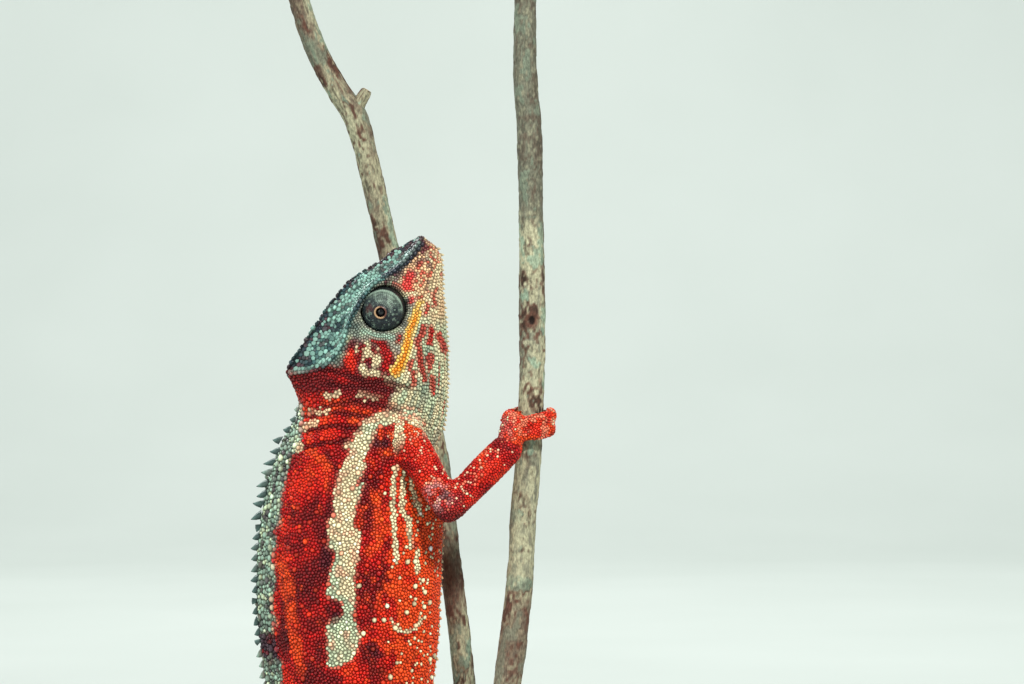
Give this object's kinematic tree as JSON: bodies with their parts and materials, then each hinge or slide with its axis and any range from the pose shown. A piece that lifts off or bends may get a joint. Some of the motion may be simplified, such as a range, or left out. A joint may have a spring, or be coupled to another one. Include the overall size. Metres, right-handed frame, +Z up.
{
  "type": "panther chameleon display model",
  "caption": "Still life-size panther chameleon climbing upright, feet and tail gripping cut stems on a plain display stand.",
  "frame": {"origin": "middle of the display base's underside", "axes": "+Z up along the climbing body, +X the way the belly faces, -Y the animal's right side"},
  "size_m": [0.15, 0.11, 0.3488],
  "materials": {
    "skin": "matte beaded scales, red with cream bands",
    "casque": "matte scales, grey-green and teal",
    "eye_turret": "fine slate-grey scales",
    "eyeball": "wet, near black",
    "bark": "rough pale bark with brown patches",
    "base": "satin dark lacquer",
    "rod": "satin black"
  },
  "bodies": {
    "root": {"stand_base": "base", "stand_rod_front": "rod", "stand_rod_back": "rod", "perch_stem_front": "bark", "perch_stem_back": "bark", "head": "casque", "jaw": "skin", "neck": "skin", "trunk_front": "skin", "trunk_rear": "skin", "tail_root": "skin", "tail_bend": "skin", "tail_coil": "skin", "tail_tip": "skin", "eye_turret_right": "eye_turret", "eye_turret_left": "eye_turret", "eyeball_right": "eyeball", "eyeball_left": "eyeball", "upper_arm_right": "skin", "forearm_right": "skin", "forefoot_right": "skin", "fore_outer_toes_right": "skin", "fore_inner_toes_right": "skin", "thigh_right": "skin", "shin_right": "skin", "hindfoot_right": "skin", "hind_outer_toes_right": "skin", "hind_inner_toes_right": "skin", "upper_arm_left": "skin", "forearm_left": "skin", "forefoot_left": "skin", "fore_outer_toes_left": "skin", "fore_inner_toes_left": "skin", "thigh_left": "skin", "shin_left": "skin", "hindfoot_left": "skin", "hind_outer_toes_left": "skin", "hind_inner_toes_left": "skin"}
  },
  "joints": []
}
